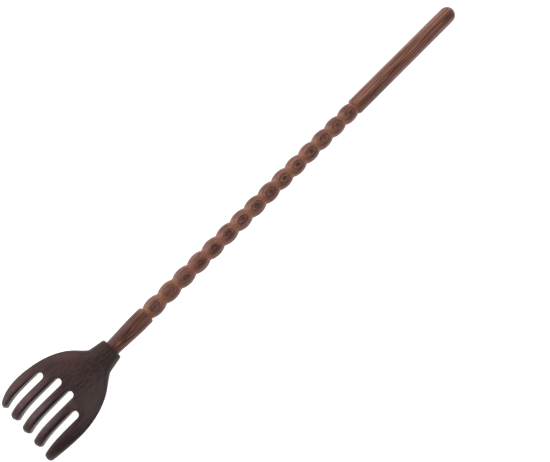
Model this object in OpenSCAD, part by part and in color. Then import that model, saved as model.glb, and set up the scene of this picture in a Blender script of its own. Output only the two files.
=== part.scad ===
// Back scratcher: a turned, beaded wooden shaft glued into a carved five-tined hand.
// It lies as on a table, on its fingertips and the round end of its grip, with the back of the hand up.
// +X runs along the shaft to the hand, +Y to the thumb side, +Z up.

/* [Shaft] */
// Diameter of the stick that the shaft is turned from
shaft_d = 14.1; // [12:0.1:15]
// Length of the plain grip, from its round end to the first groove
grip_len = 123.5; // [80:0.5:160]
// Length over which grip and neck round down to the grooves
shoulder_len = 2.2; // [0.5:0.1:3.5]

/* [Beads] */
// Number of turned beads
bead_count = 15; // [5:1:20]
// Length of one bead, from groove to groove
bead_pitch = 15.2; // [10:0.1:20]
// Diameter left at the bottom of a groove
groove_d = 10.3; // [8:0.1:11]

/* [Neck and joint] */
// Length of the neck, from the last groove to the hand
neck_len = 34.5; // [20:0.5:60]
// Length of the neck that keeps the full diameter
neck_plain = 12; // [4:0.5:18]
// Diameter of the neck where it meets the hand
neck_end_d = 11.9; // [10:0.1:13]
// Diameter of the round tenon in the hand's socket
tenon_d = 8; // [6:0.5:8.5]
// Length of the tenon
tenon_len = 15; // [10:0.5:16]
// Glue gap around the tenon
glue_gap = 0.1; // [0.05:0.05:0.3]
// Glue room past the tenon's end
end_gap = 0.5; // [0.2:0.1:1]
// Chamfer on the tenon's end and at the socket's mouth
chamfer = 0.5; // [0.2:0.1:0.6]

/* [Hand] */
// Diameter of the collar at its rim
collar_d = 17.5; // [15:0.1:19]
// Rounding of the collar's rim
rim_r = 1.1; // [0.4:0.1:1.6]
// Length of the flared wrist behind the palm
wrist_len = 13; // [9:0.5:17]
// Width of the wrist where the palm begins
wrist_w = 22.6; // [18:0.2:26]
// Softness of the hollow corner between wrist and palm
corner_blend = 7; // [1:0.5:9]
// Distance from the rim to where the oval outline begins
palm_start = 11.7; // [8:0.1:14]
// Length of the oval outline past the hand's widest place
palm_front = 53; // [48:1:60]
// Width from the shaft's axis to the little finger's side
finger_side_w = 34.2; // [31.4:0.1:36]
// Distance from the rim to the widest place on the little finger's side
finger_side_x = 60.3; // [52:0.1:62]
// Width from the shaft's axis to the thumb's side
thumb_side_w = 28.4; // [26:0.1:32]
// Distance from the rim to the widest place on the thumb's side
thumb_side_x = 56.3; // [50:0.1:60]
// How far in the rounded edge of the palm reaches
edge_round = 6; // [3:0.5:7]
// How much the palm is bowed from its middle to its sides
palm_bow = 1.6; // [0:0.1:3]

/* [Tines] */
// Number of tines
tine_count = 5; // [3:1:5]
// Distance between slots
slot_pitch = 12.7; // [11:0.1:13]
// Width of a slot
slot_w = 5.7; // [5:0.1:8]
// Middle of the row of slots, from the shaft's axis
slot_mid = -3.9; // [-5:0.1:-2]
// Distance from the rim to the deepest slot's root
root_x = 39.3; // [35:0.1:43]
// Distance from the shaft's axis to where the slots are deepest
root_mid = -4.2; // [-8:0.2:-2]
// How much shorter a slot gets one slot pitch from there
root_arch = 3.25; // [0:0.05:4]
// Distance from the rim to the first fingertip
finger_reach = 83.4; // [78:0.2:88]
// How much further the thumb reaches
thumb_extra = 2.1; // [0:0.1:6]
// Thickness of the tines at their roots
tine_th = 4.6; // [3:0.1:8]
// Thickness of the tines at their tips
tip_th = 7; // [5:0.1:8]
// Length of the rounding at a tip
tip_r = 3.4; // [2:0.1:4]
// How far the tines' round tops rise above their long edges
tine_crown = 1.3; // [0:0.1:2]
// Softening of the tines' long edges
tine_edge = 0.9; // [0.3:0.1:1.4]
// How far the tips curl down
curl = 13; // [9:0.1:16]
// Sharpness of the curl towards the tips
curl_power = 3.2; // [2:0.1:4]

/* [Hidden] */
$fn = 96;

shaft_r = shaft_d/2;
beads_len = bead_count*bead_pitch;
shaft_len = grip_len + beads_len + neck_len;
groove_depth = (shaft_d - groove_d)/2;
bead_arc_r = (pow(bead_pitch/2, 2) + pow(groove_depth, 2))/(2*groove_depth);
slot_r = slot_w/2;
last_tine = tine_count - 1;

// The two sides of the hand
finger = -1;
thumb = 1;

// Grid of the hand's skin: intervals across a tine, in a softened corner, and along palm and tines
across = 5;
corner_steps = 2;
rim_rows = 3;
palm_rows = 20;
root_rows = 4;
tine_rows = 9;
tip_rows = 5;
tip_end_angle = 80;
ring_size = 2*(across + 1) + 4*corner_steps;
tine_end = root_rows + tine_rows + tip_rows;
strip_rows = palm_rows + tine_end + 1;
same_point = 0.000001;
// Largest share of the thickness that one softened corner takes
corner_limit = 0.4;
// How far a cut runs past the face it starts from
overcut = 1;

function mix(a, b, t) = a*(1 - t) + b*t;
function smooth(t) = let (s = max(0, min(1, t))) s*s*(3 - 2*s);
// Height of a round edge of width r, at the distance d from it, as a share of the full height
function round_edge(d, r) = d >= r ? 1 : sqrt(max(0, 1 - pow(1 - d/r, 2)));
function soft_max(a, b, k) = let (h = max(0, 1 - abs(a - b)/k)) max(a, b) + h*h*k/4;

// Outline of the hand on the side s: wrist cone and oval palm
function side_w(s) = s == finger ? finger_side_w : thumb_side_w;
function side_x(s) = s == finger ? finger_side_x : thumb_side_x;
function oval(x, s) =
    let (off = x - side_x(s), e = min(1, off < 0 ? -off/(side_x(s) - palm_start) : off/palm_front))
    side_w(s)*sqrt(1 - e*e);
function wrist(x) = mix(collar_d, wrist_w, min(1, x/wrist_len))/2;
function rim_cut(x) = rim_r*(1 - round_edge(x, rim_r));
function side(x, s) = soft_max(wrist(x), oval(x, s), corner_blend) - rim_cut(x);

// Slots: edge b lies before tine b, and edges 0 and tine_count are the sides of the hand
function slot_y(b) = slot_mid + (b - tine_count/2)*slot_pitch;
function slot_root(b) = root_x + root_arch*pow((slot_y(b) - root_mid)/slot_pitch, 2);
function root(b) = slot_root(max(1, min(last_tine, b)));
curl_x = max([for (b = [1:last_tine]) root(b)]) + slot_w;
function tip(k) = finger_reach + thumb_extra*pow(k/last_tine, 2);
function curl_share(x, k) = max(0, (x - curl_x)/(tip(k) - curl_x));

// Middle surface of the hand at p, on tine k or on the palm behind it, and its half thickness
function middle(p, k) =
    let (u = curl_share(p.x, k), half_w = side_w(p.y < 0 ? finger : thumb))
    -curl*pow(u, curl_power) - palm_bow*smooth(p.x/root_x)*(1 - u)*pow(p.y/half_w, 2);
function half_th(x) =
    let (blade = mix(tine_th, tip_th, max(0, (x - root_x)/(finger_reach - root_x))))
    mix(collar_d, blade, smooth((x - rim_r)/(root_x - rim_r)))/2 - rim_cut(x);

// Share of the half thickness left by the palm's round sides, and by the round sides of an outer tine
function edge_reach(x, s) = mix(side(x, s), edge_round, smooth(x/root_x));
function palm_share(p) =
    round_edge(p.y + side(p.x, finger), edge_reach(p.x, finger))
    *round_edge(side(p.x, thumb) - p.y, edge_reach(p.x, thumb));
function tine_share(k, y, left_y, right_y) =
    k == 0 ? round_edge(y - left_y, edge_round)
    : k == last_tine ? round_edge(right_y - y, edge_round)
    : 1;

// Rise of the round top of tine k, at x and at the share t of its width
function crown(k, x, t) =
    tine_crown*smooth((x - mix(root(k), root(k + 1), t))/slot_pitch)*(1 - pow(2*t - 1, 2));

// Spacing of the grid across tine k, closer at the hand's round sides
function spread(k, t) = k == 0 ? 1 - cos(90*t) : k == last_tine ? sin(90*t) : t;

// Softened corners from the upper point a to the lower point b, swelling by e to the side s
function flank(a, b, e, s) =
    let (drop = min(e, corner_limit*(a.z - b.z)), turn = [for (i = [1:corner_steps]) 90*i/corner_steps])
    concat(
        [for (w = turn) [a.x, a.y + s*e*sin(w), a.z - drop*(1 - cos(w))]],
        [for (i = [corner_steps - 1:-1:0]) [b.x, b.y + s*e*sin(turn[i]), b.z + drop*(1 - cos(turn[i]))]]
    );
function reversed(list) = [for (i = [len(list) - 1:-1:0]) list[i]];

// One ring round tine k, from the edge points p and q and their corner softenings ep and eq
function ring(k, p, q, ep, eq, on_palm, end_share) =
    let (
        row = [for (j = [0:across]) let (t = spread(k, j/across))
            [mix(p.x, q.x, t), mix(p.y + ep, q.y - eq, t), t]],
        half = [for (r = row) end_share*half_th(r.x)
            *(on_palm ? palm_share(r) : tine_share(k, r.y, p.y, q.y))],
        rise = [for (r = row) on_palm ? 0 : end_share*crown(k, r.x, r.z)],
        top = [for (j = [0:across]) [row[j].x, row[j].y, middle(row[j], k) + half[j] + rise[j]]],
        low = [for (j = [0:across]) [row[j].x, row[j].y, middle(row[j], k) - half[j]]]
    )
    concat(
        top,
        flank(top[across], low[across], eq, 1),
        reversed(low),
        reversed(flank(top[0], low[0], ep, -1))
    );

// Rings of the palm, whose rows bend from the flat rim to the arch of the slot roots
function palm_step(i) =
    i <= rim_rows ? rim_r/root_x*(1 - cos(90*i/rim_rows))
    : mix(rim_r/root_x, 1, (i - rim_rows)/(palm_rows - rim_rows));
function edge_share(b) =
    let (x = root(b), a = side(x, finger), c = side(x, thumb))
    b == 0 ? 0 : b == tine_count ? 1 : (slot_y(b) + a)/(a + c);
function palm_edge(b, i) =
    let (t = palm_step(i), x = mix(root_x, root(b), t)*t)
    [x, mix(-side(x, finger), side(x, thumb), edge_share(b))];
function palm_ring(k, i) = ring(k, palm_edge(k, i), palm_edge(k + 1, i), 0, 0, true, 1);

// Rings of a tine: round slot root, straight run, round tip
function tine_x(start, end, i) =
    i <= root_rows ? start + slot_r*(1 - cos(90*i/root_rows))
    : i <= root_rows + tine_rows ? mix(start + slot_r, end - tip_r, (i - root_rows)/tine_rows)
    : end - tip_r*(1 - sin(tip_end_angle*(i - root_rows - tine_rows)/tip_rows));
function tine_edge_y(b, x, s) =
    b == 0 ? -side(x, finger)
    : b == tine_count ? side(x, thumb)
    : slot_y(b) + s*slot_r*round_edge(x - root(b), slot_r);
function softening(b, x) = b == 0 || b == tine_count ? 0 : tine_edge*round_edge(x - root(b), slot_r);
function tine_ring(k, i) =
    let (
        px = tine_x(root(k), tip(k), i),
        qx = tine_x(root(k + 1), tip(k), i),
        py = tine_edge_y(k, px, 1),
        qy = tine_edge_y(k + 1, qx, -1),
        share = round_edge(tip(k) - px, tip_r),
        y = (py + qy)/2
    )
    ring(k, [px, mix(y, py, share)], [qx, mix(y, qy, share)],
        softening(k, px)*share, softening(k + 1, qx)*share, false, share);

strips = [for (k = [0:last_tine]) concat(
    [for (i = [0:palm_rows]) palm_ring(k, i)],
    [for (i = [1:tine_end]) tine_ring(k, i)]
)];
ring_points = [for (s = strips) for (r = s) for (p = r) p];
function centre(list) = list*[for (p = list) 1]/len(list);
tip_points = [for (s = strips) let (r = s[strip_rows - 1]) [for (a = [0:2]) centre([for (p = r) p[a]])]];
hand_points = concat(ring_points, tip_points, [[0, 0, 0]]);

function at(k, i, r) = (k*strip_rows + i)*ring_size + r % ring_size;
function on_flank(r) = (r >= across && r <= across + 2*corner_steps) || r > 2*across + 2*corner_steps;
function apart(a, b) = norm(hand_points[a] - hand_points[b]) > same_point;
function sound(f) = apart(f[0], f[1]) && apart(f[1], f[2]) && apart(f[2], f[0]);
skin_faces = [for (k = [0:last_tine]) for (i = [0:strip_rows - 2]) for (r = [0:ring_size - 1])
    if (i >= palm_rows || !on_flank(r))
        let (a = at(k, i, r), b = at(k, i, r + 1), c = at(k, i + 1, r + 1), d = at(k, i + 1, r))
        each [[a, b, c], [a, c, d]]];
tip_faces = [for (k = [0:last_tine]) for (r = [0:ring_size - 1])
    [len(ring_points) + k, at(k, strip_rows - 1, r), at(k, strip_rows - 1, r + 1)]];
rim_faces = [for (k = [0:last_tine]) for (r = [0:ring_size - 1])
    if (!on_flank(r)) [len(hand_points) - 1, at(k, 0, r + 1), at(k, 0, r)]];
hand_faces = [for (f = concat(skin_faces, tip_faces, rim_faces)) if (sound(f)) f];

// Resting place: the floor touches the ball of the grip's end and the lowest fingertip
grip_ball_x = shaft_r - shaft_len;
function floor_angle(p) =
    let (run = p.x - grip_ball_x)
    atan2(-p.z, run) - asin(shaft_r/norm([run, p.z]));
rest_pitch = max([for (p = hand_points) floor_angle(p)]);
grip_end_x = grip_ball_x*cos(rest_pitch) - shaft_r;
finger_end_x = max([for (p = hand_points) p.x*cos(rest_pitch) - p.z*sin(rest_pitch)]);
hand_y = [for (p = hand_points) p.y];
rest_shift = [
    -(grip_end_x + finger_end_x)/2,
    -(min(hand_y) + max(hand_y))/2,
    shaft_r - grip_ball_x*sin(rest_pitch)
];

module at_rest() {
    translate(rest_shift) rotate([0, -rest_pitch, 0]) children();
}

// Half profile of the shaft, with its length along Y: the grip's end is at 0
module block(y, length, r) {
    translate([0, y]) square([r, length]);
}

module shoulder(y, direction) {
    groove_r = groove_d/2;
    start = y - direction*shoulder_len;
    translate([groove_r, start]) scale([groove_depth, shoulder_len]) circle(1);
    block(min(y, start), shoulder_len, groove_r);
}

module grip_profile() {
    intersection() {
        translate([0, shaft_r]) circle(shaft_r);
        block(0, shaft_r, shaft_r);
    }
    block(shaft_r, grip_len - shaft_r - shoulder_len, shaft_r);
    shoulder(grip_len, 1);
}

module bead_profile() {
    intersection() {
        translate([shaft_r - bead_arc_r, bead_pitch/2]) circle(bead_arc_r);
        block(0, bead_pitch, shaft_r);
    }
}

module neck_profile() {
    shoulder(0, -1);
    block(shoulder_len, neck_plain - shoulder_len, shaft_r);
    polygon([[0, neck_plain], [shaft_r, neck_plain], [neck_end_d/2, neck_len], [0, neck_len]]);
}

module tenon_profile() {
    tenon_r = tenon_d/2;
    block(0, tenon_len - chamfer, tenon_r);
    polygon([[0, tenon_len - chamfer], [tenon_r, tenon_len - chamfer],
        [tenon_r - chamfer, tenon_len], [0, tenon_len]]);
}

module shaft() {
    color("sienna") at_rest() translate([-shaft_len, 0, 0]) rotate([0, 90, 0]) rotate_extrude() {
        grip_profile();
        for (i = [0:bead_count - 1]) translate([0, grip_len + i*bead_pitch]) bead_profile();
        translate([0, grip_len + beads_len]) neck_profile();
        translate([0, shaft_len]) tenon_profile();
    }
}

module socket() {
    socket_r = tenon_d/2 + glue_gap;
    rotate([0, 90, 0]) {
        translate([0, 0, -overcut]) cylinder(r = socket_r, h = overcut + tenon_len + end_gap);
        translate([0, 0, -chamfer]) cylinder(r1 = socket_r + 2*chamfer, r2 = socket_r, h = 2*chamfer);
    }
}

module hand() {
    color([0.25, 0.17, 0.15]) at_rest() difference() {
        polyhedron(hand_points, hand_faces);
        socket();
    }
}

shaft();
hand();
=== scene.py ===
"""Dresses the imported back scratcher: a turned, beaded stick glued into a carved hand, both of dark wood."""

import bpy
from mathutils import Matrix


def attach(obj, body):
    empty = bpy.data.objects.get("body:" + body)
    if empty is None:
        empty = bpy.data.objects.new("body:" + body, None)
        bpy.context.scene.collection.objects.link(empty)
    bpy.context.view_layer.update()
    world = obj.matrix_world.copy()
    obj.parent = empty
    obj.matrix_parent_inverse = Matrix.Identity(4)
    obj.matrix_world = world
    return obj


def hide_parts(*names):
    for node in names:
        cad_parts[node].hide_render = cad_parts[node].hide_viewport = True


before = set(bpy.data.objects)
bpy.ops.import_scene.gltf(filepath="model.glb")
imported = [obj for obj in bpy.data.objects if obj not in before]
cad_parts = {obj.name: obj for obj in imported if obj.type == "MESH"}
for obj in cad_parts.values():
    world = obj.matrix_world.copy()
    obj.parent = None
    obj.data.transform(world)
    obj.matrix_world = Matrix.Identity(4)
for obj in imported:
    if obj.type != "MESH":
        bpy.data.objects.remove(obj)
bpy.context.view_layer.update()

import logging
import math
from dataclasses import dataclass
from enum import Enum
from typing import Any, Optional, Sequence, Union

import bmesh
import bpy
from mathutils import Matrix, Vector

LOG = logging.getLogger("back_scratcher")
MM = 0.001
BODY = "root"
WALL = "wall"
# Attribute for the painted shade on the tines' thumb sides
PAINTED_SHADE = "painted_shade"
PHOTO_WIDTH_PX = 550
NOISE_MEAN = 0.5
RIGHT_ANGLE = math.pi / 2
# Sockets of a Mix node for colours, by number
MIX_SHARE, MIX_A, MIX_B, MIX_RESULT = 0, 6, 7, 2

Colour = tuple[float, float, float, float]
Point = tuple[float, float, float]
Pair = tuple[float, float]
Settings = Optional[dict[str, Any]]
Sockets = Union[None, dict[Any, Any], Sequence[Any]]


class Node(Enum):
    """CAD nodes that get a finer piece."""

    SHAFT = "shaft"
    HAND = "hand"


class Slot(Enum):
    """Material slots of the record."""

    SHAFT = "shaft_wood"
    HAND = "hand_wood"


@dataclass(frozen=True)
class Grain:
    """Noise that is stretched along the wood.

    Its scale is how many times it changes in each millimetre, by axis, its layers are the finer ones that
    are added, with their weight, and its span holds the noise values that become 0 and 1.
    """

    scale: Point
    layers: float
    weight: float
    span: Pair = (0.0, 1.0)


def mix(a: float, b: float, t: float) -> float:
    """Goes from a to b as t goes from 0 to 1."""
    return a * (1 - t) + b * t


def smooth(t: float) -> float:
    """Eases from 0 to 1, and stays there outside."""
    s = max(0.0, min(1.0, t))
    return s * s * (3 - 2 * s)


def ease(value: float, low: float, high: float) -> float:
    """Eases from 0 at low to 1 at high, and stays there outside."""
    return smooth((value - low) / (high - low))


def round_edge(distance: float, radius: float) -> float:
    """Height of a round edge as a share of its full height.

    Args:
        distance: How far in from the edge.
        radius: How far in the rounding reaches.

    Returns:
        A share from 0 at the edge to 1 past the rounding.
    """
    if distance >= radius:
        return 1.0
    return math.sqrt(max(0.0, 1 - (1 - distance / radius) ** 2))


def soft_max(a: float, b: float, width: float) -> float:
    """The larger of two lengths, with a hollow corner of that width between them."""
    h = max(0.0, 1 - abs(a - b) / width)
    return max(a, b) + h * h * width / 4


def quarter(share: float) -> float:
    """An angle that goes from 0 to a right angle as share goes from 0 to 1."""
    return share * RIGHT_ANGLE


def put(name: str, data: Any) -> bpy.types.Object:
    """Adds an object to the scene.

    Args:
        name: The object's name.
        data: Its mesh, lamp or camera.

    Returns:
        The object.
    """
    thing = bpy.data.objects.new(name, data)
    bpy.context.scene.collection.objects.link(thing)
    return thing


class Wire:
    """One output socket, with the arithmetic that shapes and finishes are written in."""

    def __init__(self, graph: "Graph", socket: bpy.types.NodeSocket) -> None:
        """Keeps the socket and the graph that it belongs to."""
        self.graph = graph
        self.socket = socket

    def math(self, operation: str, *others: Any) -> "Wire":
        """A Math node on this value and the others."""
        return self.graph.add("ShaderNodeMath", {"operation": operation}, [self, *others])

    def other(self, name: str) -> "Wire":
        """Another output of the same node."""
        return Wire(self.graph, self.socket.node.outputs[name])

    def __add__(self, other: Any) -> "Wire":
        """This plus other."""
        return self.math("ADD", other)

    __radd__ = __add__

    def __sub__(self, other: Any) -> "Wire":
        """This less other."""
        return self.math("SUBTRACT", other)

    def __rsub__(self, other: Any) -> "Wire":
        """Other less this."""
        return self.graph.add("ShaderNodeMath", {"operation": "SUBTRACT"}, [other, self])

    def __mul__(self, other: Any) -> "Wire":
        """This times other."""
        return self.math("MULTIPLY", other)

    __rmul__ = __mul__

    def __truediv__(self, other: Any) -> "Wire":
        """This divided by other."""
        return self.math("DIVIDE", other)

    def __rtruediv__(self, other: Any) -> "Wire":
        """Other divided by this."""
        return self.graph.add("ShaderNodeMath", {"operation": "DIVIDE"}, [other, self])

    def sin(self) -> "Wire":
        """Sine of an angle in radians."""
        return self.math("SINE")

    def cos(self) -> "Wire":
        """Cosine of an angle in radians."""
        return self.math("COSINE")

    def sqrt(self) -> "Wire":
        """Square root."""
        return self.math("SQRT")

    def between(self, low: float, high: float, eased: bool = False) -> "Wire":
        """Goes from 0 at low to 1 at high, gently where eased, and stays there outside."""
        kind = "SMOOTHSTEP" if eased else "LINEAR"
        return self.graph.add("ShaderNodeMapRange", {"interpolation_type": kind}, [self, low, high])

    def range(self, low: float, high: float) -> "Wire":
        """Goes from low to high as this goes from 0 to 1."""
        return self * (high - low) + low


class Graph:
    """Adds nodes to one node tree and links them."""

    def __init__(self, tree: bpy.types.NodeTree) -> None:
        """Keeps the tree."""
        self.tree = tree

    def add(
        self, kind: str, settings: Settings = None, sockets: Sockets = None, out: Union[int, str] = 0
    ) -> Wire:
        """Adds one node.

        Args:
            kind: The node's type.
            settings: Properties of the node, set first; stops are a ramp's positions and colours.
            sockets: Values or wires for its inputs, by name or number, or in order.
            out: Name or number of the output that is wanted.

        Returns:
            The wanted output.
        """
        node = self.tree.nodes.new(kind)
        for name, value in (settings or {}).items():
            if name == "stops":
                self._set_stops(node.color_ramp, value)
            else:
                setattr(node, name, value)
        self.fill(node, sockets if isinstance(sockets, dict) else dict(enumerate(sockets or [])))
        return Wire(self, node.outputs[out] if len(node.outputs) else None)

    def fill(self, node: bpy.types.Node, sockets: dict[Any, Any]) -> None:
        """Links or sets inputs of a node, by name or number."""
        for key, value in sockets.items():
            self.join(value, node.inputs[key])

    def join(self, value: Any, target: bpy.types.NodeSocket) -> None:
        """Links a wire to an input, or sets the input's value.

        Args:
            value: A wire, a list of wires that are all linked, or a plain value.
            target: The input.
        """
        if isinstance(value, Wire):
            self.tree.links.new(value.socket, target)
        elif isinstance(value, list):
            for wire in value:
                self.join(wire, target)
        else:
            target.default_value = value

    def overlay(self, colour: Wire, tones: Sequence[tuple[Wire, Colour]]) -> Wire:
        """Lays tones over a colour, one after the other.

        Args:
            colour: The colour below.
            tones: Share and colour of each tone.

        Returns:
            The colour on top.
        """
        for share, tone in tones:
            sockets = {MIX_SHARE: share, MIX_A: colour, MIX_B: tone}
            colour = self.add("ShaderNodeMix", {"data_type": "RGBA"}, sockets, MIX_RESULT)
        return colour

    def noise(self, point: Sequence[Wire], grain: Grain) -> Wire:
        """Noise at a point of the wood.

        Args:
            point: The point's parts, in millimetres.
            grain: The kind of noise.

        Returns:
            The noise, from 0 to 1.
        """
        place = self.add("ShaderNodeCombineXYZ", None, [p * s for p, s in zip(point, grain.scale)])
        sockets = {"Vector": place, "Scale": 1.0, "Detail": grain.layers, "Roughness": grain.weight}
        return self.add("ShaderNodeTexNoise", None, sockets).between(*grain.span)

    def bump(self, height: Wire, strength: float, distance: float) -> Wire:
        """A normal that follows a height."""
        sockets = {"Strength": strength, "Distance": distance, "Height": height}
        return self.add("ShaderNodeBump", None, sockets)

    @staticmethod
    def _set_stops(ramp: bpy.types.ColorRamp, stops: Sequence[tuple[float, Colour]]) -> None:
        """Gives a colour ramp its stops.

        Args:
            ramp: The ramp.
            stops: Position and colour of each stop.
        """
        while len(ramp.elements) < len(stops):
            ramp.elements.new(1.0)
        for element, (position, colour) in zip(ramp.elements, stops):
            element.position = position
            element.color = colour


@dataclass(frozen=True)
class RestingPlace:
    """How the part lies on the table, on its fingertips and the ball of its grip.

    The part's own axis starts at the mouth of the collar and runs through the hand.
    """

    pitch_deg: float = 0.89187
    shift_mm: Point = (150.155, 2.89852, 12.9485)

    @property
    def turn(self) -> float:
        """Turn about Y that lifts the hand's end, in radians."""
        return -math.radians(self.pitch_deg)

    @property
    def matrix(self) -> Matrix:
        """Takes a point on the part's axis, in millimetres, to the row frame, in metres."""
        turn = Matrix.Rotation(self.turn, 4, "Y")
        return Matrix.Translation(Vector(self.shift_mm) * MM) @ turn @ Matrix.Scale(MM, 4)

    def axis_point(self, graph: Graph) -> Wire:
        """A surface point along the part's own axis, in millimetres.

        Args:
            graph: The material's nodes.

        Returns:
            The point as a vector.
        """
        place = graph.add("ShaderNodeTexCoord", out="Object")
        sockets = {
            "Vector": place,
            "Location": tuple(v * MM for v in self.shift_mm),
            "Rotation": (0.0, self.turn, 0.0),
            "Scale": (MM, MM, MM),
        }
        return graph.add("ShaderNodeMapping", {"vector_type": "TEXTURE"}, sockets)


def new_material(name: str) -> tuple[bpy.types.Material, Graph, bpy.types.Node]:
    """Starts a material.

    Args:
        name: The material's name.

    Returns:
        The material, its graph and its Principled shader.
    """
    material = bpy.data.materials.new(name)
    material.use_nodes = True
    shader = material.node_tree.nodes["Principled BSDF"]
    return material, Graph(material.node_tree), shader


@dataclass(frozen=True)
class StickWood:
    """Turned hardwood whose growth layers lie flat, so that each bead shows a bull's eye.

    Lengths are in millimetres. A pair along an axis holds where a tone starts to come in and where it is
    full. Shares are parts of 1.
    """

    core: Colour = (0.045, 0.017, 0.018, 1)
    dark: Colour = (0.042, 0.0135, 0.0085, 1)
    mid: Colour = (0.130, 0.046, 0.028, 1)
    light: Colour = (0.300, 0.128, 0.080, 1)
    groove: Colour = (0.360, 0.142, 0.075, 1)
    # Dark red staining of the neck; where it is laid more thickly on the lit side, it is painted shade
    stain_and_shade: Colour = (0.062, 0.010, 0.003, 1)
    tones: Point = (0.2, 0.5, 0.8)
    layer_tilt_deg: float = 18.0
    ring_mm: float = 0.6
    drift_mm: float = 1.0
    ring_share: float = 0.35
    fibre_share: float = 0.15
    line_share: float = 0.5
    crest_depth: Pair = (1.1, 0.2)
    crest_share: float = 0.35
    core_depth: Pair = (0.25, 0.03)
    core_share: float = 0.2
    # Painted light: the grip's colour is lighter towards its lit side, -Y
    painted_light_y: Pair = (8.0, -4.0)
    painted_light_share: float = 0.13
    groove_share: float = 0.55
    neck_share: float = 0.1
    # Share of the neck's staining from its shaded side to its lit side, -Y; the rise towards the lit side is
    # painted shade
    stain_and_shade_share: Pair = (0.18, 0.75)
    neck_painted_shade_y: Pair = (2.0, -4.0)
    band_share: float = 0.5
    drift: Grain = Grain((0.025, 0.05, 0.05), 2.0, 0.5)
    fibre: Grain = Grain((0.01, 0.15, 1.0), 3.0, 0.6, (0.35, 0.65))
    line: Grain = Grain((0.02, 1.3, 1.3), 3.0, 0.6, (0.42, 0.58))
    band: Grain = Grain((0.02, 0.12, 1.8), 2.0, 0.6, (0.42, 0.58))
    spot: Grain = Grain((0.07, 0.02, 0.02), 1.0, 0.5, (0.35, 0.6))
    roughness: Pair = (0.28, 0.42)
    specular: float = 0.3
    bump: float = 0.25
    bump_m: float = 0.0002

    def material(
        self, place: RestingPlace, stick_r: float, groove_depth: float, neck_len: float, grip_x: float
    ) -> bpy.types.Material:
        """Builds the finish.

        Args:
            place: Where the part lies.
            stick_r: Radius of the stick, in millimetres.
            groove_depth: Depth of a groove, in millimetres.
            neck_len: Length of the neck, which is stained darker and given painted shade on its lit side, in
                millimetres.
            grip_x: Where the grip ends and the beads begin, in millimetres.

        Returns:
            The material.
        """
        material, graph, shader = new_material("stick_wood")
        x = graph.add("ShaderNodeSeparateXYZ", None, [place.axis_point(graph)], "X")
        y, z = x.other("Y"), x.other("Z")
        tilt = math.radians(self.layer_tilt_deg)
        height = z * math.cos(tilt) + y * math.sin(tilt)
        across = y * math.cos(tilt) - z * math.sin(tilt)
        drift = graph.noise((x, across, height), self.drift) - NOISE_MEAN
        layer = height + drift * self.drift_mm
        ring = (layer * (2 * math.pi / self.ring_mm)).sin().between(-1.0, 1.0)
        point = (x, across, layer)
        fibre, line, band = (graph.noise(point, kind) for kind in (self.fibre, self.line, self.band))
        strength = graph.noise((x, across, height), self.spot)
        on_neck = x.between(-neck_len, -neck_len + stick_r, True)
        on_grip = x.between(grip_x + stick_r, grip_x, True)
        plain = on_neck + on_grip
        line = line + (band - line) * (1.0 - plain) * self.band_share
        # Painted light: the grip's colour is lightened towards its lit side, -Y
        pale = across.between(*self.painted_light_y, True) * on_grip
        tone = ring * self.ring_share + fibre * self.fibre_share + line * self.line_share
        tone = tone + pale * self.painted_light_share - on_neck * self.neck_share
        stops = list(zip(self.tones, (self.dark, self.mid, self.light)))
        wood = graph.add("ShaderNodeValToRGB", {"stops": stops}, [tone])
        crest = self._near_top(height, stick_r, self.crest_depth) * (1.0 - plain) * self.crest_share
        spot = self._near_top(layer, stick_r, self.core_depth) * strength * self.core_share
        depth = stick_r - (y * y + z * z).sqrt()
        in_groove = depth.between(0.0, groove_depth, True) * (1.0 - on_neck) * self.groove_share
        # The neck's staining, laid more thickly towards its lit side, -Y, as painted shade
        stained = on_neck * across.between(*self.neck_painted_shade_y, True).range(*self.stain_and_shade_share)
        tones = [(crest + spot, self.core), (in_groove, self.groove), (stained, self.stain_and_shade)]
        inputs = {
            "Base Color": graph.overlay(wood, tones),
            "Roughness": fibre.range(*self.roughness),
            "Specular IOR Level": self.specular,
            "Normal": graph.bump(line, self.bump, self.bump_m),
        }
        graph.fill(shader, inputs)
        return material

    @staticmethod
    def _near_top(height: Wire, stick_r: float, depth: Pair) -> Wire:
        """Goes from 0 to 1 between two depths below the top of the stick."""
        return height.between(stick_r - depth[0], stick_r - depth[1], True)


@dataclass(frozen=True)
class Zone:
    """A part of the hand with a colour laid over it, which comes in along and across the axis; some zones
    paint light, sheen and shade.
    """

    colour: Colour
    share: float
    x: Pair
    y: Pair

    def fade(self, x: Wire, y: Wire) -> Wire:
        """How far a point lies in the zone, from 0 to 1."""
        return x.between(*self.x, True) * y.between(*self.y, True)


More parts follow.
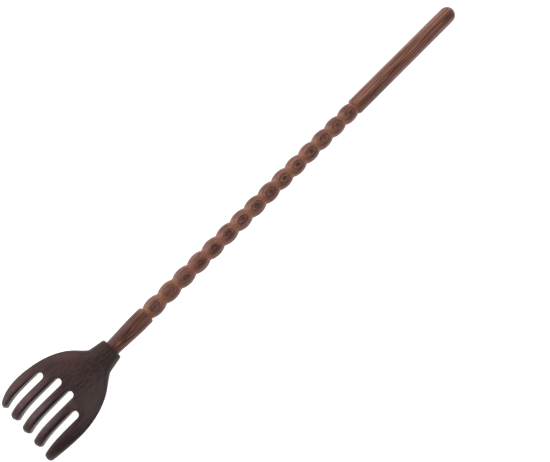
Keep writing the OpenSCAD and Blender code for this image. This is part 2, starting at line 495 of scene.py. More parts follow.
@dataclass(frozen=True)
class HandWood:
    """Carved wood, stained nearly black-brown, with fine grain, tines lighter from wear, painted light and
    sheen, painted shade and slot walls made pale as a painted reflection.

    Its fields are written as the stick's are.
    """

    dark: Colour = (0.0205, 0.012, 0.012, 1)
    mid: Colour = (0.0375, 0.020, 0.0195, 1)
    light: Colour = (0.0615, 0.0325, 0.0315, 1)
    # A redder, lighter tone in random patches, laid on more towards the lit side, -Y: partly its own colour,
    # partly painted light
    warm_and_lit: Colour = (0.0745, 0.0315, 0.0305, 1)
    tip: Colour = (0.050, 0.012, 0.006, 1)
    streak: Colour = (0.105, 0.064, 0.044, 1)
    # Near black: painted shade in a thin line along the tines' shaded edges and round their tips
    edge: Colour = (0.004, 0.0015, 0.0015, 1)
    # Pale grey: a painted reflection of the white floor on the slot walls
    wall: Colour = (0.34, 0.29, 0.27, 1)
    # Darker brown on the collar's lit side: partly its own tone, partly painted shade against the light there
    collar: Zone = Zone((0.030, 0.008, 0.003, 1), 0.75, (22.0, 8.0), (2.0, -7.0))
    sheen: Zone = Zone((0.068, 0.045, 0.045, 1), 0.85, (53.0, 36.0), (2.0, 16.0))
    # Lighter tines: partly wear from rubbing, partly painted sheen on their lit sides, towards -Y
    wear_and_sheen: Zone = Zone((0.142, 0.090, 0.089, 1), 0.9, (40.0, 66.0), (18.0, 4.0))
    # Painted shade: the thumb's side of the hand is darkened, away from the light
    thumb: Zone = Zone((0.0205, 0.012, 0.012, 1), 0.25, (45.0, 65.0), (5.0, 20.0))
    tones: Point = (0.0, 0.5, 1.0)
    grain: Grain = Grain((0.03, 0.7, 1.0), 4.0, 0.6, (0.3, 0.7))
    fleck: Grain = Grain((0.2, 1.3, 1.3), 2.0, 0.6, (0.3, 0.7))
    patch: Grain = Grain((0.05, 0.06, 0.06), 2.0, 0.5)
    fleck_share: float = 0.7
    grain_mottle: Pair = (0.6, 1.1)
    warm_and_lit_share: float = 0.8
    warm_from: Pair = (0.3, 0.7)
    # Where the redder tone comes in towards the lit side; this part of it is painted light
    warm_and_lit_y: Pair = (0.0, -18.0)
    wear_and_sheen_end: Pair = (81.0, 72.0)
    wear_and_sheen_edge_y: Pair = (-38.0, -22.0)
    # Painted shade on the thumb's side of each tine
    painted_shade_share: float = 0.6
    painted_shade_end: Pair = (82.0, 77.0)
    streak_share: float = 0.8
    streak_from: Pair = (0.2, 0.6)
    streak_at: Pair = (45.6, 8.0)
    streak_mm: Pair = (3.2, 7.0)
    tip_share: float = 0.55
    # Painted shade on the thumb's tip
    thumb_tip_shade_share: float = 0.8
    tip_x: Pair = (70.0, 81.0)
    tip_y: Pair = (-24.0, -16.0)
    # Where the wall attribute gives the painted shade line, and the painted reflection on the slot walls
    shade_line_from: Pair = (0.05, 0.3)
    shade_line_share: Pair = (0.85, 0.2)
    painted_reflection_from: Pair = (0.5, 0.8)
    painted_reflection_share: Pair = (0.9, 0.3)
    roughness: Pair = (0.38, 0.5)
    specular: float = 0.14
    bump: float = 0.3
    bump_m: float = 0.0002

    def material(self, place: RestingPlace) -> bpy.types.Material:
        """Builds the finish.

        Args:
            place: Where the part lies.

        Returns:
            The material.
        """
        material, graph, shader = new_material("hand_wood")
        x = graph.add("ShaderNodeSeparateXYZ", None, [place.axis_point(graph)], "X")
        y = x.other("Y")
        point = (x, y, x.other("Z"))
        side, painted_shade = (
            graph.add("ShaderNodeAttribute", {"attribute_name": name}, out="Fac") for name in (WALL, PAINTED_SHADE)
        )
        fleck = graph.noise(point, self.fleck) - NOISE_MEAN
        grain = graph.noise(point, self.grain) + fleck * self.fleck_share
        patch = graph.noise(point, self.patch)
        grain_mottle = grain.range(*self.grain_mottle)
        stops = list(zip(self.tones, (self.dark, self.mid, self.light)))
        wood = graph.add("ShaderNodeValToRGB", {"stops": stops}, [grain])
        # Red patches laid on more towards the lit side: partly the wood's colour, partly painted light
        red_patches_and_light = patch.between(*self.warm_from, True) * y.between(*self.warm_and_lit_y, True)
        collar, sheen, wear_and_sheen, thumb = self.collar, self.sheen, self.wear_and_sheen, self.thumb
        # Wear from rubbing, and painted sheen on the tines' lit sides
        wear_and_sheen_mask = wear_and_sheen.fade(x, y) * x.between(*self.wear_and_sheen_end, True) * y.between(*self.wear_and_sheen_edge_y, True)
        # Painted shade on each tine's thumb side
        in_painted_shade = painted_shade * x.between(*self.painted_shade_end, True)
        # Painted shade over the thumb's side of the hand
        in_thumb_shade = thumb.fade(x, y)
        at_tip = x.between(*self.tip_x, True)
        stained = at_tip * y.between(*self.tip_y, True) * (1.0 - in_thumb_shade)
        # Painted shade line along the tines' shaded edges, and round their tips
        painted_shade_line = side.between(*self.shade_line_from, True) * at_tip.range(*self.shade_line_share)
        # Pale walls: painted reflection of the white floor
        pale = side.between(*self.painted_reflection_from, True) * at_tip.range(*self.painted_reflection_share)
        tones = [
            (red_patches_and_light * grain_mottle * self.warm_and_lit_share, self.warm_and_lit),
            # Partly the collar's own browner tone, partly painted shade on its lit side
            (collar.fade(x, y) * collar.share, collar.colour),
            (sheen.fade(x, y) * grain_mottle * sheen.share, sheen.colour),
            (wear_and_sheen_mask * (1.0 - painted_shade) * grain_mottle * wear_and_sheen.share, wear_and_sheen.colour),
            (in_painted_shade * self.painted_shade_share, self.dark),
            (in_thumb_shade * thumb.share, thumb.colour),
            (self._streak(x, y, patch) * self.streak_share, self.streak),
            (stained * self.tip_share, self.tip),
            # Painted shade: the thumb's tip is darkened with the collar's brown
            (at_tip * in_thumb_shade * self.thumb_tip_shade_share, collar.colour),
            (painted_shade_line, self.edge),
            (pale, self.wall),
        ]
        inputs = {
            "Base Color": graph.overlay(wood, tones),
            "Roughness": grain.range(*self.roughness),
            "Specular IOR Level": self.specular,
            "Normal": graph.bump(grain, self.bump, self.bump_m),
        }
        graph.fill(shader, inputs)
        return material

    def _streak(self, x: Wire, y: Wire, patch: Wire) -> Wire:
        """The pale, blurred streak behind the last slot.

        Args:
            x: Place along the axis.
            y: Place across it.
            patch: Noise that breaks the streak up.

        Returns:
            The streak's share, from 0 to 1.
        """
        along = (x - self.streak_at[0]) / self.streak_mm[0]
        aside = (y - self.streak_at[1]) / self.streak_mm[1]
        return (along * along + aside * aside).between(1.0, 0.0, True) * patch.between(*self.streak_from)


def dress(mesh: bpy.types.Mesh, place: RestingPlace, node: Node) -> bpy.types.Object:
    """Lays a finished piece down and puts it in its CAD node's place.

    Args:
        mesh: The finer piece, along the part's own axis.
        place: Where the part lies.
        node: The node that it stands for.

    Returns:
        The dressed piece.
    """
    mesh.transform(place.matrix)
    piece = put(mesh.name, mesh)
    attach(piece, BODY)
    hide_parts(node.value)
    LOG.info("%s: %d faces", piece.name, len(piece.data.polygons))
    return piece


@dataclass
class TurnedShaft:
    """The turned stick: grip, beads, neck and tenon, in millimetres along its own axis."""

    stick_d: float = 14.1
    grip_len: float = 123.5
    shoulder_len: float = 2.2
    bead_count: int = 15
    bead_pitch: float = 15.2
    groove_d: float = 10.3
    neck_len: float = 34.5
    neck_plain: float = 12.0
    neck_end_d: float = 11.9
    tenon_d: float = 8.0
    tenon_len: float = 15.0
    chamfer: float = 0.5
    sides: int = 96
    bead_rows: tuple[int, ...] = (24,)
    grip_rows: tuple[int, ...] = (16, 24, 8)
    neck_rows: tuple[int, ...] = (8, 6, 12, 1, 6, 1, 1)
    weld: float = 0.001
    sharp_deg: float = 30.0

    @property
    def stick_r(self) -> float:
        """Radius of the stick."""
        return self.stick_d / 2

    @property
    def groove_depth(self) -> float:
        """Depth of a groove."""
        return (self.stick_d - self.groove_d) / 2

    @property
    def length(self) -> float:
        """Length from the grip's end to the hand."""
        return self.grip_len + self.bead_count * self.bead_pitch + self.neck_len

    def sizes(self) -> dict[str, float]:
        """Inputs of the node tree, by name."""
        return {
            "Stick Radius": self.stick_r,
            "Grip Length": self.grip_len,
            "Shoulder Rounding": self.shoulder_len,
            "Bead Pitch": self.bead_pitch,
            "Groove Depth": self.groove_depth,
            "Neck Length": self.neck_len,
            "Plain Neck": self.neck_plain,
            "Neck End Radius": self.neck_end_d / 2,
            "Tenon Radius": self.tenon_d / 2,
            "Tenon Length": self.tenon_len,
            "Chamfer": self.chamfer,
        }

    def build(self, finish: StickWood, place: RestingPlace) -> bpy.types.Object:
        """Makes the shaft.

        Args:
            finish: Its wood.
            place: Where the part lies.

        Returns:
            The dressed piece.
        """
        material = finish.material(
            place, self.stick_r, self.groove_depth, self.neck_len, self.grip_len - self.length
        )
        carrier = put("shaft_rule", bpy.data.meshes.new("shaft_rule"))
        tree = self._tree()
        modifier = carrier.modifiers.new("turned_shaft", "NODES")
        modifier.node_group = tree
        wanted: dict[str, Any] = {**self.sizes(), "Bead Count": self.bead_count, "Finish": material}
        for item in tree.interface.items_tree:
            if item.in_out == "INPUT":
                modifier[item.identifier] = wanted[item.name]
        bpy.context.view_layer.update()
        turned = carrier.evaluated_get(bpy.context.evaluated_depsgraph_get())
        mesh = bpy.data.meshes.new_from_object(turned)
        bpy.data.objects.remove(carrier)
        mesh.name = "turned_shaft"
        return dress(mesh, place, Node.SHAFT)

    def _tree(self) -> bpy.types.NodeTree:
        """Writes the rule of the turned shape, with its sizes as inputs.

        Returns:
            The node tree.
        """
        tree = bpy.data.node_groups.new("turned_shaft", "GeometryNodeTree")
        inputs = [*((name, "Float") for name in self.sizes()), ("Bead Count", "Int"), ("Finish", "Material")]
        for name, kind in inputs:
            tree.interface.new_socket(name, in_out="INPUT", socket_type=f"NodeSocket{kind}")
        tree.interface.new_socket("Shaft", in_out="OUTPUT", socket_type="NodeSocketGeometry")
        graph = Graph(tree)
        size = graph.add("NodeGroupInput")
        pitch, neck_len = size.other("Bead Pitch"), size.other("Neck Length")
        beads_x = 0.0 - pitch * size.other("Bead Count") - neck_len
        grip = self._grip(size, beads_x - size.other("Grip Length"))
        bead = self._bead(size)
        neck = self._neck(size, 0.0 - neck_len)
        first = graph.add("ShaderNodeCombineXYZ", None, [beads_x])
        step = graph.add("ShaderNodeCombineXYZ", None, [pitch])
        places = graph.add(
            "GeometryNodeMeshLine",
            {"mode": "OFFSET"},
            {"Count": size.other("Bead Count"), "Start Location": first, "Offset": step},
        )
        beads = graph.add("GeometryNodeInstanceOnPoints", None, {"Points": places, "Instance": bead})
        whole = graph.add("GeometryNodeJoinGeometry", None, [[grip, beads, neck]])
        real = graph.add("GeometryNodeRealizeInstances", None, [whole])
        closed = graph.add("GeometryNodeMergeByDistance", None, {"Geometry": real, "Distance": self.weld})
        angle = graph.add("GeometryNodeInputMeshEdgeAngle")
        shading = {"Geometry": closed, "Shade Smooth": angle.math("LESS_THAN", math.radians(self.sharp_deg))}
        shaded = graph.add("GeometryNodeSetShadeSmooth", {"domain": "EDGE"}, shading)
        wood = {"Geometry": shaded, "Material": size.other("Finish")}
        made = graph.add("GeometryNodeSetMaterial", None, wood)
        graph.add("NodeGroupOutput", None, [made])
        return tree

    @staticmethod
    def _shares(graph: Graph, rows: Sequence[int]) -> list[Wire]:
        """How far a grid's point has gone through each stretch of a profile.

        Args:
            graph: The tree's nodes.
            rows: Number of rows in each stretch.

        Returns:
            The shares, from 0 to 1.
        """
        place = graph.add("GeometryNodeInputPosition")
        # The grid is 1 long and centred
        row = (graph.add("ShaderNodeSeparateXYZ", None, [place], "X") + 0.5) * sum(rows)
        stops = [sum(rows[:i]) for i in range(len(rows) + 1)]
        return [row.between(a, b) for a, b in zip(stops, stops[1:])]

    def _turned(self, along: Wire, radius: Wire, rows: Sequence[int]) -> Wire:
        """Turns a profile about the axis.

        Args:
            along: Place along the axis.
            radius: Radius there.
            rows: Number of rows in each stretch.

        Returns:
            The mesh, open at its seam.
        """
        graph = along.graph
        points = sum(rows) + 1
        sizes = {"Size X": 1.0, "Size Y": 1.0, "Vertices X": points, "Vertices Y": self.sides + 1}
        grid = graph.add("GeometryNodeMeshGrid", None, sizes)
        place = graph.add("GeometryNodeInputPosition")
        angle = graph.add("ShaderNodeSeparateXYZ", None, [place], "Y") * (-2 * math.pi)
        parts = [along, radius * angle.cos(), radius * angle.sin()]
        turned = graph.add("ShaderNodeCombineXYZ", None, parts)
        return graph.add("GeometryNodeSetPosition", None, {"Geometry": grid, "Position": turned})

    def _bead(self, size: Wire) -> Wire:
        """Turns one bead, a circular arc from groove to groove.

        Args:
            size: The tree's inputs.

        Returns:
            The mesh.
        """
        pitch, groove = size.other("Bead Pitch"), size.other("Groove Depth")
        (share,) = self._shares(size.graph, self.bead_rows)
        half = pitch * 0.5
        arc_r = (half * half + groove * groove) / (groove * 2.0)
        along = share * pitch
        off = along - half
        radius = (arc_r * arc_r - off * off).sqrt() - arc_r + size.other("Stick Radius")
        return self._turned(along, radius, self.bead_rows)

    def _grip(self, size: Wire, start: Wire) -> Wire:
        """Turns the plain grip: round end, cylinder, and shoulder at the first groove.

        Args:
            size: The tree's inputs.
            start: Where the grip begins.

        Returns:
            The mesh.
        """
        stick_r, turn = size.other("Stick Radius"), size.other("Shoulder Rounding")
        ball, straight, shoulder = self._shares(size.graph, self.grip_rows)
        dome, fall = ball * RIGHT_ANGLE, shoulder * RIGHT_ANGLE
        run = size.other("Grip Length") - stick_r - turn
        along = start + stick_r * (1.0 - dome.cos()) + run * straight + turn * fall.sin()
        radius = stick_r * dome.sin() - size.other("Groove Depth") * (1.0 - fall.cos())
        return self._turned(along, radius, self.grip_rows)

    def _neck(self, size: Wire, start: Wire) -> Wire:
        """Turns the neck: shoulder, plain neck, taper, seat, tenon, chamfer and end face.

        Args:
            size: The tree's inputs.
            start: Where the neck begins.

        Returns:
            The mesh.
        """
        stick_r, turn = size.other("Stick Radius"), size.other("Shoulder Rounding")
        end_r, tenon_r = size.other("Neck End Radius"), size.other("Tenon Radius")
        plain, cut = size.other("Plain Neck"), size.other("Chamfer")
        shoulder, level, taper, seat, tenon, edge, face = self._shares(size.graph, self.neck_rows)
        rise = shoulder * RIGHT_ANGLE
        along = start + turn * (1.0 - rise.cos()) + (plain - turn) * level
        along = along + (size.other("Neck Length") - plain) * taper
        along = along + (size.other("Tenon Length") - cut) * tenon + cut * edge
        radius = stick_r - size.other("Groove Depth") * (1.0 - rise.sin())
        radius = radius + (end_r - stick_r) * taper + (tenon_r - end_r) * seat
        radius = radius - cut * edge - (tenon_r - cut) * face
        return self._turned(along, radius, self.neck_rows)


@dataclass
class CarvedHand:
    """The carved hand: collar, palm and curled tines as one skin, in millimetres along the axis.

    Its sizes are named as in the part's source. The last ones set how fine the mesh is, how the tips end
    and where the finish paints the slot walls' reflection, their shade line and the shade on each tine's
    thumb side.
    """

    collar_d: float = 17.5
    rim_r: float = 1.1
    wrist_len: float = 13.0
    wrist_w: float = 22.6
    corner_blend: float = 7.0
    palm_start: float = 11.7
    palm_front: float = 53.0
    finger_side_w: float = 34.2
    finger_side_x: float = 60.3
    thumb_side_w: float = 28.4
    thumb_side_x: float = 56.3
    edge_round: float = 6.0
    palm_bow: float = 1.6
    tine_count: int = 5
    slot_pitch: float = 12.7
    slot_w: float = 5.7
    slot_mid: float = -3.9
    root_x: float = 39.3
    root_mid: float = -4.2
    root_arch: float = 3.25
    finger_reach: float = 83.8
    thumb_extra: float = 1.65
    tine_th: float = 4.6
    tip_th: float = 7.0
    tip_r: float = 3.4
    tine_crown: float = 1.3
    crown_power: float = 7.0
    tine_edge: float = 0.9
    curl: float = 12.97
    curl_power: float = 3.2
    socket_r: float = 4.1
    socket_len: float = 15.5
    chamfer: float = 0.5
    corner_limit: float = 0.4
    across: int = 12
    corner_steps: int = 5
    rim_rows: int = 8
    palm_rows: int = 64
    root_rows: int = 10
    tine_rows: int = 34
    tip_rows: int = 12
    tip_end_deg: float = 87.0
    tip_power: float = 2.3
    tip_slant: float = 0.9
    tip_wall_deg: Pair = (20.0, 70.0)
    # How far the tips' rim reaches into the painted shade line
    tip_edge: float = 0.4
    # Where the painted shade on each tine's thumb side starts across its top, from the first tine to the
    # thumb
    painted_shade_from: Pair = (0.9, 0.3)
    painted_shade_rows: int = 8
    turn_digits: int = 6
    weld: float = 1e-5
    sliver: float = 1e-6

    @property
    def last_tine(self) -> int:
        """Number of the thumb's tine."""
        return self.tine_count - 1

    @property
    def ring_size(self) -> int:
        """Number of points in one ring round a tine."""
        return 2 * (self.across + 1) + 4 * self.corner_steps

    @property
    def slot_r(self) -> float:
        """Radius of a slot's root."""
        return self.slot_w / 2

    def oval(self, x: float, thumb: bool) -> float:
        """Half width of the oval palm.

        Args:
            x: Place along the axis.
            thumb: Whether it is the thumb's side, or the little finger's.

        Returns:
            The width.
        """
        width = self.thumb_side_w if thumb else self.finger_side_w
        widest = self.thumb_side_x if thumb else self.finger_side_x
        reach = widest - self.palm_start if x < widest else self.palm_front
        e = min(1.0, abs(x - widest) / reach)
        return width * math.sqrt(1 - e * e)

    def rim_cut(self, x: float) -> float:
        """What the rim's rounding takes away."""
        return self.rim_r * (1 - round_edge(x, self.rim_r))

    def side(self, x: float, thumb: bool) -> float:
        """Half width of the hand's outline, on the thumb's side or the little finger's."""
        wrist = mix(self.collar_d, self.wrist_w, min(1.0, x / self.wrist_len)) / 2
        return soft_max(wrist, self.oval(x, thumb), self.corner_blend) - self.rim_cut(x)

    def slot_y(self, b: int) -> float:
        """Middle of the slot before tine b."""
        return self.slot_mid + (b - self.tine_count / 2) * self.slot_pitch

    def root(self, b: int) -> float:
        """Where the slot before tine b begins."""
        y = self.slot_y(max(1, min(self.last_tine, b)))
        return self.root_x + self.root_arch * ((y - self.root_mid) / self.slot_pitch) ** 2

    def tip(self, k: int) -> float:
        """How far tine k reaches."""
        return self.finger_reach + self.thumb_extra * (k / self.last_tine) ** 2

    def curl_share(self, x: float, k: int) -> float:
        """How far along its curl tine k is."""
        start = max(self.root(b) for b in range(1, self.tine_count)) + self.slot_w
        return max(0.0, (x - start) / (self.tip(k) - start))

    def middle(self, x: float, y: float, k: int) -> float:
        """Height of the middle surface.

        Args:
            x: Place along the axis.
            y: Place across it.
            k: The tine, or the one that the palm lies behind.

        Returns:
            The height above the axis.
        """
        u = self.curl_share(x, k)
        half_w = self.finger_side_w if y < 0 else self.thumb_side_w
        bow = self.palm_bow * smooth(x / self.root_x) * (1 - u) * (y / half_w) ** 2
        return -self.curl * u**self.curl_power - bow

    def half_th(self, x: float) -> float:
        """Half thickness of the hand, without its round sides.

        Args:
            x: Place along the axis.

        Returns:
            The thickness.
        """
        run = max(0.0, (x - self.root_x) / (self.finger_reach - self.root_x))
        blade = mix(self.tine_th, self.tip_th, run)
        share = ease(x, self.rim_r, self.root_x)
        return mix(self.collar_d, blade, share) / 2 - self.rim_cut(x)

    def palm_share(self, x: float, y: float) -> float:
        """How much of the half thickness the palm's round sides leave.

        Args:
            x: Place along the axis.
            y: Place across it.

        Returns:
            The share.
        """
        share = 1.0
        for thumb in (False, True):
            side = self.side(x, thumb)
            reach = mix(side, self.edge_round, smooth(x / self.root_x))
            share *= round_edge(side - y if thumb else side + y, reach)
        return share

    def tine_share(self, k: int, y: float, left: float, right: float) -> float:
        """Share of the half thickness left by the round outer side of an outer tine."""
        inside = {0: y - left, self.last_tine: right - y}.get(k, self.edge_round)
        return round_edge(inside, self.edge_round)

    def lean(self, k: int, t: float) -> float:
        """Share of the way between a row's ends, level beside the deeper slot to clear its round root."""
        return smooth(2 * t - 1) if self.root(k + 1) > self.root(k) else smooth(2 * t)

    def crown(self, k: int, x: float, t: float) -> float:
        """Rise of the round top of tine k, at x and at the share t of its width."""
        run = x - mix(self.root(k), self.root(k + 1), self.lean(k, t))
        return self.tine_crown * smooth(run / self.slot_pitch) * (1 - abs(2 * t - 1) ** self.crown_power)

    def spread(self, k: int, t: float) -> float:
        """Spacing of the grid across tine k, closer at the hand's round sides."""
        turn = quarter(t)
        return {0: 1 - math.cos(turn), self.last_tine: math.sin(turn)}.get(k, t)

    def flank(self, a: Point, b: Point, e: float, sign: int) -> list[Point]:
        """Softened corners and wall between an upper and a lower edge point.

        Args:
            a: The upper point.
            b: The lower point.
            e: How far the wall swells to its side.
            sign: The side that it swells to.

        Returns:
            The points, from upper to lower.
        """
        drop = min(self.tine_edge, self.corner_limit * (a[2] - b[2]))
        turns = [quarter(i / self.corner_steps) for i in range(1, self.corner_steps + 1)]
        upper = [(a[0], a[1] + sign * e * math.sin(w), a[2] - drop * (1 - math.cos(w))) for w in turns]
        lower = [
            (b[0], b[1] + sign * e * math.sin(w), b[2] + drop * (1 - math.cos(w)))
            for w in reversed(turns)
        ]
        return upper + lower

    def ring(
        self,
        k: int,
        p: Pair,
        q: Pair,
        on_palm: bool,
        soft: Pair = (0.0, 0.0),
        left: Pair = (1.0, 1.0),
        slant: float = 0.0,
    ) -> list[Point]:
        """One ring round tine k, or round the palm behind it.

        Args:
            k: The tine.
            p: Edge point on the little finger's side.
            q: Edge point on the thumb's side.
            on_palm: Whether the ring is on the palm.
            soft: Corner softening at the two edges.
            left: Shares of the upper and the lower half thickness left by the round tip.
            slant: How far the ring lags on the thumb's side.

        Returns:
            The ring's points.
        """
        top, low = [], []
        for j in range(self.across + 1):
            t = self.spread(k, j / self.across)
            x = mix(p[0], q[0], self.lean(k, t)) - slant * t
            y = mix(p[1] + soft[0], q[1] - soft[1], t)
            share = self.palm_share(x, y) if on_palm else self.tine_share(k, y, p[1], q[1])
            half, mid = self.half_th(x) * share, self.middle(x, y, k)
            rise = 0.0 if on_palm else self.crown(k, x, t)
            top.append((x, y, mid + left[0] * (half + rise)))
            low.append((x, y, mid - left[1] * half))
        last = self.flank(top[-1], low[-1], soft[1], 1)
        first = self.flank(top[0], low[0], soft[0], -1)
        return top + last + low[::-1] + first[::-1]

    def palm_edge(self, b: int, i: int) -> Pair:
        """Edge point of a row of the palm; the rows bend from the flat rim to the arch of the roots.

        Args:
            b: The edge; the first and the last are the hand's own sides.
            i: The row.

        Returns:
            The places along and across.
        """
        start = self.rim_r / self.root_x
        if i <= self.rim_rows:
            t = start * (1 - math.cos(quarter(i / self.rim_rows)))
        else:
            t = mix(start, 1.0, (i - self.rim_rows) / (self.palm_rows - self.rim_rows))
        x = mix(self.root_x, self.root(b), t) * t
        share = b / self.tine_count
        if 0 < b < self.tine_count:
            a, c = (self.side(self.root(b), thumb) for thumb in (False, True))
            share = (self.slot_y(b) + a) / (a + c)
        return x, mix(-self.side(x, False), self.side(x, True), share)

    def tine_edge_at(self, b: int, x: float, sign: int) -> Pair:
        """Edge b of a tine at x, and its corner softening.

        Args:
            b: The edge; the first and the last are the hand's own sides.
            x: Place along the axis.
            sign: The side of the slot that the tine lies on.

        Returns:
            The place across, and the softening.
        """
        if b == 0:
            return -self.side(x, False), 0.0
        if b == self.tine_count:
            return self.side(x, True), 0.0
        open_share = round_edge(x - self.root(b), self.slot_r)
        return self.slot_y(b) + sign * self.slot_r * open_share, self.tine_edge * open_share

    def tine_x(self, start: float, end: float, i: int) -> float:
        """Place of a row along a tine: round slot root, straight run, round tip.

        Args:
            start: Where the slot beside it begins.
            end: Where the tine ends.
            i: The row.

        Returns:
            The place along the axis.
        """
        if i <= self.root_rows:
            return start + self.slot_r * (1 - math.cos(quarter(i / self.root_rows)))
        i -= self.root_rows
        if i <= self.tine_rows:
            return mix(start + self.slot_r, end - self.tip_r, i / self.tine_rows)
        turn = math.radians(self.tip_end_deg) * (i - self.tine_rows) / self.tip_rows
        return end - self.tip_r * (1 - math.sin(turn))

    def slant(self, k: int, i: int) -> float:
        """How far row i of a finger lags on the thumb's side, so that its end is slanted."""
        run = (i - self.root_rows) / (self.tine_rows + self.tip_rows)
        return 0.0 if k == self.last_tine else self.tip_slant * smooth(run)

    def blunt(self, share: float) -> float:
        """Share left by a fuller rounding than the circle that leaves the given share."""
        return (1 - math.sqrt(1 - share * share) ** self.tip_power) ** (1 / self.tip_power)

    def palm_ring(self, k: int, i: int) -> list[Point]:
        """Ring i of the palm behind tine k."""
        return self.ring(k, self.palm_edge(k, i), self.palm_edge(k + 1, i), True)

    def tine_ring(self, k: int, i: int) -> list[Point]:
        """One ring of a tine.

        Args:
            k: The tine.
            i: The ring.

        Returns:
            The ring's points.
        """
        end = self.tip(k)
        px, qx = self.tine_x(self.root(k), end, i), self.tine_x(self.root(k + 1), end, i)
        py, p_soft = self.tine_edge_at(k, px, 1)
        qy, q_soft = self.tine_edge_at(k + 1, qx, -1)
        share = round_edge(end - px, self.tip_r)
        y = (py + qy) / 2
        full = self.blunt(share)
        p, q = (px, mix(y, py, full)), (qx, mix(y, qy, full))
        soft = (p_soft * full, q_soft * full)
        return self.ring(k, p, q, False, soft, (full, share), self.slant(k, i))

    def build(self, finish: HandWood, place: RestingPlace) -> bpy.types.Object:
        """Makes the hand.

        Args:
            finish: Its wood.
            place: Where the part lies.

        Returns:
            The dressed piece.
        """
        form = bmesh.new()
        for name in (WALL, PAINTED_SHADE):
            form.verts.layers.float.new(name)
        rows = self.root_rows + self.tine_rows + self.tip_rows
        rim: list[Point] = []
        for k in range(self.tine_count):
            rings = [self.palm_ring(k, i) for i in range(self.palm_rows + 1)]
            rings += [self.tine_ring(k, i) for i in range(1, rows + 1)]
            self._skin(form, rings, k)
            rim += self.top_and_low(rings[0])
        self._socket(form, rim)
        loose = [vert for vert in form.verts if not vert.link_faces]
        bmesh.ops.delete(form, geom=loose, context="VERTS")
        bmesh.ops.remove_doubles(form, verts=form.verts, dist=self.weld)
        bmesh.ops.dissolve_degenerate(form, edges=form.edges, dist=self.sliver)
        bmesh.ops.recalc_face_normals(form, faces=form.faces)
        for face in form.faces:
            face.smooth = True
        mesh = bpy.data.meshes.new("carved_hand")
        form.to_mesh(mesh)
        form.free()
        mesh.materials.append(finish.material(place))
        return dress(mesh, place, Node.HAND)

    def top_and_low(self, ring: list[Point]) -> list[Point]:
        """The points of a ring on the hand's top and underside, without those on its walls."""
        low = self.across + 1 + 2 * self.corner_steps
        return ring[: self.across + 1] + ring[low : low + self.across + 1]

    def wall_shares(self, k: int) -> list[float]:
        """How far each point of a ring stands on a wall along a slot.

        Args:
            k: The tine; the two outer ones have a wall on one side only.

        Returns:
            The shares, in the ring's order.
        """
        rise = [math.sin(quarter(i / self.corner_steps)) for i in range(1, self.corner_steps + 1)]
        plain, wall = [0.0] * (self.across + 1), rise + rise[::-1]
        bare = [0.0] * len(wall)
        return plain + (bare if k == self.last_tine else wall) + plain + (wall if k else bare)

    def painted_shade_shares(self, k: int) -> list[float]:
        """How far each point of a ring lies in the painted shade on a tine's side towards the thumb, away
        from the light.

        Args:
            k: The tine; the painted shade is broader from tine to tine.

        Returns:
            The shares, in the ring's order.
        """
        low = mix(*self.painted_shade_from, k / self.last_tine)
        places = [self.spread(k, j / self.across) for j in range(self.across + 1)]
        top = [ease(t, low, 1.0) for t in places]
        wall = 2 * self.corner_steps
        return top + [1.0] * wall + top[::-1] + [0.0] * wall

    def tip_share(self, i: int) -> float:
        """How far row i of a tine stands on the wall round its tip."""
        turn = self.tip_end_deg * (i - self.root_rows - self.tine_rows) / self.tip_rows
        return ease(turn, *self.tip_wall_deg)

    def _skin(self, form: bmesh.types.BMesh, rings: list[list[Point]], k: int) -> None:
        """Adds the faces of a tine and the palm behind it, with the tip closed.

        Args:
            form: The hand's mesh.
            rings: The rings from the collar to the tip.
            k: The tine.
        """
        size, wall = self.ring_size, 2 * self.corner_steps
        verts = [[form.verts.new(p) for p in ring] for ring in rings]
        walls, painted_shade = (form.verts.layers.float[name] for name in (WALL, PAINTED_SHADE))
        for i, ring in enumerate(verts[self.palm_rows :]):
            end_share = self.tip_share(i)
            start_share = smooth((i - self.root_rows) / self.painted_shade_rows)
            for vert, share, shade in zip(ring, self.wall_shares(k), self.painted_shade_shares(k)):
                # The tips' rim gets the painted shade line
                vert[walls] = max(share, end_share * self.tip_edge)
                vert[painted_shade] = shade * start_share
        for i in range(len(rings) - 1):
            for r in range(size):
                on_wall = self.across <= r <= self.across + wall or r > 2 * self.across + wall
                if i < self.palm_rows and on_wall:
                    continue
                n = (r + 1) % size
                form.faces.new((verts[i][r], verts[i][n], verts[i + 1][n], verts[i + 1][r]))
        end = rings[-1]
        centre = form.verts.new([sum(p[axis] for p in end) / size for axis in range(3)])
        for r in range(size):
            form.faces.new((verts[-1][r], verts[-1][(r + 1) % size], centre))

    def _socket(self, form: bmesh.types.BMesh, rim: list[Point]) -> None:
        """Adds the collar's end face and the blind socket for the tenon.

        Args:
            form: The hand's mesh.
            rim: The points of the collar's end.
        """
        turns = sorted({round(math.atan2(p[2], p[1]), self.turn_digits): p for p in rim}.items())
        bore = self.socket_r
        profile = [(0.0, bore + self.chamfer), (self.chamfer, bore), (self.socket_len, bore)]
        loops = [[form.verts.new(p) for _, p in turns]]
        for x, r in profile:
            loops.append([form.verts.new((x, r * math.cos(w), r * math.sin(w))) for w, _ in turns])
        for outer, inner in zip(loops, loops[1:]):
            for i in range(len(turns)):
                n = (i + 1) % len(turns)
                form.faces.new((outer[i], outer[n], inner[n], inner[i]))
        form.faces.new(loops[-1])


@dataclass(frozen=True)
class SoftBox:
    """One soft studio light."""

    name: str
    place: Point
    size: float
    watts: float
    aim: Point = (0.0, 0.0, 0.0)

    def build(self) -> None:
        """Adds the light."""
        lamp = bpy.data.lights.new(self.name, "AREA")
        lamp.shape = "DISK"
        lamp.size = self.size
        lamp.energy = self.watts
        light = put(self.name, lamp)
        light.location = self.place
        aim = Vector(self.aim) - Vector(self.place)
        light.rotation_euler = aim.to_track_quat("-Z", "Y").to_euler()


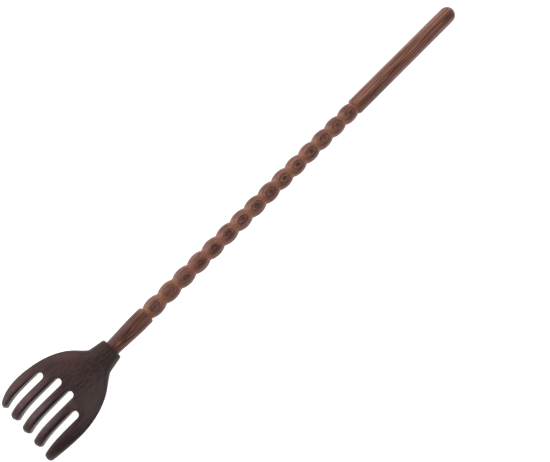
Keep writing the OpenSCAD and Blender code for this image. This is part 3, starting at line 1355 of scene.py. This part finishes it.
@dataclass
class Studio:
    """Pale floor, white surroundings that are greyer overhead and on one side, and soft lights."""

    floor_half: float = 4.0
    floor_colour: Colour = (0.9, 0.9, 0.9, 1)
    floor_rough: float = 0.9
    floor_lift: float = 0.8
    overhead: float = 0.55
    overhead_from: Pair = (0.35, 0.85)
    far_way: Pair = (0.5, 0.87)
    far_side: float = 0.45
    far_side_from: Pair = (-0.1, 0.5)
    lights: tuple[SoftBox, ...] = (
        SoftBox("key_light", (0.5, -1.2, 0.95), 1.6, 14.0),
        SoftBox("fill_light", (0.0, 0.66, 1.15), 0.45, 3.0),
    )

    def build(self) -> None:
        """Adds floor, world and lights."""
        self._floor()
        self._world()
        for light in self.lights:
            light.build()

    def _floor(self) -> None:
        """A plain floor that shows white round the part, with the part's shadow kept."""
        h = self.floor_half
        mesh = bpy.data.meshes.new("floor")
        mesh.from_pydata([(-h, -h, 0), (h, -h, 0), (h, h, 0), (-h, h, 0)], [], [(0, 1, 2, 3)])
        material, graph, shader = new_material("floor_white")
        seen = graph.add("ShaderNodeLightPath", out="Is Camera Ray")
        shown = seen.math("MAXIMUM", seen.other("Is Glossy Ray"))
        shown = shown.math("MAXIMUM", seen.other("Is Transmission Ray"))
        inputs = {
            "Base Color": self.floor_colour,
            "Roughness": self.floor_rough,
            "Specular IOR Level": 0.0,
            "Emission Strength": 1.0,
            "Emission Color": shown * self.floor_lift,
        }
        graph.fill(shader, inputs)
        mesh.materials.append(material)
        floor = put("floor", mesh)

    def _world(self) -> None:
        """White surroundings, with the greyer parts that shade the wood."""
        world = bpy.data.worlds.new("studio")
        bpy.context.scene.world = world
        world.use_nodes = True
        graph = Graph(world.node_tree)
        toward = graph.add("ShaderNodeTexCoord", out="Generated")
        up = graph.add("ShaderNodeSeparateXYZ", None, [toward], "Z")
        tone = up.between(*self.overhead_from, True).range(1.0, self.overhead)
        aside = up.other("X") * self.far_way[0] + up.other("Y") * self.far_way[1]
        tone = tone * aside.between(*self.far_side_from, True).range(1.0, self.far_side)
        graph.join(tone, world.node_tree.nodes["Background"].inputs["Color"])


@dataclass(frozen=True)
class PhotoCamera:
    """The camera, at the photograph's viewing angle."""

    place: Point = (0.108307, 0.125264, 0.521292)
    aim: Point = (0.00342, 0.025466, 0.0)
    roll_deg: float = 0.24727
    focal_px: float = 700.0
    sensor_mm: float = 36.0
    near_m: float = 0.01

    def build(self) -> None:
        """Adds the camera and makes it the scene's own."""
        lens = bpy.data.cameras.new("photo_camera")
        lens.sensor_fit = "HORIZONTAL"
        lens.sensor_width = self.sensor_mm
        lens.lens = self.focal_px / PHOTO_WIDTH_PX * self.sensor_mm
        lens.clip_start = self.near_m
        camera = put("photo_camera", lens)
        view = Vector(self.aim) - Vector(self.place)
        look = view.to_track_quat("-Z", "Y").to_matrix().to_4x4()
        roll = Matrix.Rotation(math.radians(-self.roll_deg), 4, "Z")
        camera.matrix_world = Matrix.Translation(self.place) @ look @ roll
        bpy.context.scene.camera = camera


def main() -> None:
    """Builds the camera, the studio and the two pieces."""
    logging.basicConfig(level=logging.INFO, format="%(name)s: %(message)s")
    bpy.context.scene.view_settings.view_transform = "Standard"
    place = RestingPlace()
    PhotoCamera().build()
    Studio().build()
    TurnedShaft().build(StickWood(), place)
    CarvedHand().build(HandWood(), place)


if __name__ == "__main__":
    main()
